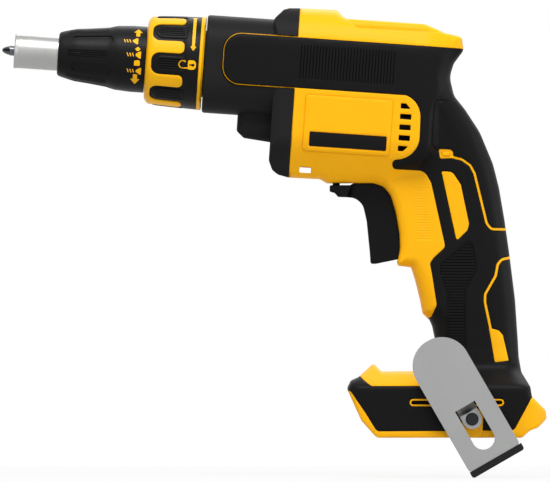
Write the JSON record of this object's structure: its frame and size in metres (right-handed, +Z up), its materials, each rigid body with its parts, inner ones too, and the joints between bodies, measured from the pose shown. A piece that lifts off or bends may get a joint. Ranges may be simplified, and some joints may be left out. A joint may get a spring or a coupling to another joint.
{
  "type": "drywall screwdriver",
  "caption": "Cordless pistol-grip drywall screwdriver with an offset gear case, a depth-setting nose, a push-to-drive spindle, a slide-pack foot and a belt hook.",
  "frame": {"origin": "middle of the lower plane of the battery pack rails, under the foot", "axes": "+Z up along the upright tool, -X towards the nose, -Y the side with the belt hook"},
  "size_m": [0.307, 0.0821, 0.2643],
  "materials": {
    "housing_yellow": "fine moulded texture",
    "grip_rubber": "matte overmoulded rubber",
    "gear_case_black": "black coated casting",
    "nose_black": "moulded, satin",
    "collar_yellow": "fine moulded texture",
    "locator_steel": "turned and brushed",
    "bit_steel": "dark tool steel",
    "trigger_black": "moulded, satin",
    "hook_steel": "grey satin coat",
    "hook_guard": "matte",
    "screw_black": "black oxide",
    "bearing_steel": "polished",
    "gear_steel": "machined",
    "bush_bronze": "sintered",
    "motor_iron": "laminated",
    "winding_copper": "enamelled wire",
    "board_green": "solder mask",
    "inner_plastic": "moulded",
    "plate_aluminium": "die cast",
    "contact_brass": "plated",
    "lens_clear": "clear moulding",
    "wire_red": "insulation"
  },
  "bodies": {
    "body": {"housing_left": "housing_yellow", "housing_right": "housing_yellow", "grip_left": "grip_rubber", "grip_right": "grip_rubber", "gear_case": "gear_case_black", "gear_case_screws": "screw_black", "bearing_plate": "plate_aluminium", "bearing_plate_screws": "screw_black", "spindle_bush": "bush_bronze", "spindle_rear_bearing": "bearing_steel", "motor_front_bearing": "bearing_steel", "pinion_front_bearing": "bearing_steel", "motor_rear_bearing": "bearing_steel", "rear_bearing_holder": "inner_plastic", "thrust_washer": "gear_steel", "stator_core": "motor_iron", "stator_windings": "winding_copper", "motor_board": "board_green", "switch_body": "inner_plastic", "trigger_spring": "gear_steel", "controller_module": "inner_plastic", "terminal_block": "inner_plastic", "battery_contacts": "contact_brass", "battery_leads": "wire_red", "motor_leads": "wire_red", "housing_screws": "screw_black", "belt_hook": "hook_steel", "hook_lip_guard": "hook_guard", "hook_screw": "screw_black", "work_light_lens": "lens_clear", "work_light_board": "board_green"},
    "rotor": {"rotor_shaft": "gear_steel", "rotor_core": "motor_iron", "cooling_fan": "inner_plastic", "pinion": "gear_steel"},
    "gear": {"drive_gear": "gear_steel"},
    "carriage": {"spring_washer": "gear_steel", "clutch_spring": "gear_steel"},
    "spindle": {"spindle": "gear_steel", "clutch_plate": "gear_steel", "bit_holder": "bit_steel", "driver_bit": "bit_steel"},
    "nose": {"nose_sleeve": "nose_black"},
    "collar": {"collar_core": "collar_yellow", "collar_grip": "nose_black"},
    "cone": {"nose_cone": "nose_black"},
    "locator": {"depth_locator": "locator_steel"},
    "trigger": {"trigger": "trigger_black"},
    "selector": {"direction_selector": "trigger_black"}
  },
  "joints": [
    {"name": "gear_spin", "type": "hinge", "parent": "body", "child": "gear", "pos_m": [-0.09339, 0, 0.20788], "axis": [0.9977, 0, -0.068], "continuous": true},
    {"name": "rotor_spin", "type": "hinge", "parent": "body", "child": "rotor", "pos_m": [-0.05532, 0, 0.17822], "axis": [0.9977, 0, -0.068], "continuous": true},
    {"name": "spindle_push", "type": "slide", "parent": "body", "child": "carriage", "axis": [0.9977, 0, -0.068], "range_m": [0, 0.004], "stiffness_N_per_m": 3000, "springref_m": -0.003, "deforming": ["clutch_spring"]},
    {"name": "spindle_spin", "type": "hinge", "parent": "carriage", "child": "spindle", "pos_m": [-0.1333, 0, 0.2106], "axis": [0.9977, 0, -0.068], "continuous": true},
    {"name": "nose_pull", "type": "slide", "parent": "body", "child": "nose", "axis": [-0.9977, 0, 0.068], "range_m": [0, 0.026]},
    {"name": "collar_turn", "type": "hinge", "parent": "nose", "child": "collar", "pos_m": [-0.15325, 0, 0.21196], "axis": [0.9977, 0, -0.068], "range_deg": [0, 40]},
    {"name": "cone_turn", "type": "hinge", "parent": "nose", "child": "cone", "pos_m": [-0.19316, 0, 0.21468], "axis": [0.9977, 0, -0.068], "range_deg": [-180, 180]},
    {"name": "locator_slide", "type": "slide", "parent": "nose", "child": "locator", "axis": [0.9977, 0, -0.068], "range_m": [-0.0025, 0.0025]},
    {"name": "trigger_slide", "type": "slide", "parent": "body", "child": "trigger", "axis": [1, 0, 0], "range_m": [0, 0.007], "stiffness_N_per_m": 900, "springref_m": -0.004, "deforming": ["trigger_spring"]},
    {"name": "selector_slide", "type": "slide", "parent": "body", "child": "selector", "axis": [0, 1, 0], "range_m": [-0.0035, 0.0035]}
  ],
  "couplings": [
    {"joint": "rotor_spin", "follows": "gear_spin", "ratio": -3.5},
    {"joint": "spindle_spin", "follows": "gear_spin", "ratio": 1},
    {"joint": "locator_slide", "follows": "cone_turn", "m_per_rad": 0.00079577}
  ]
}
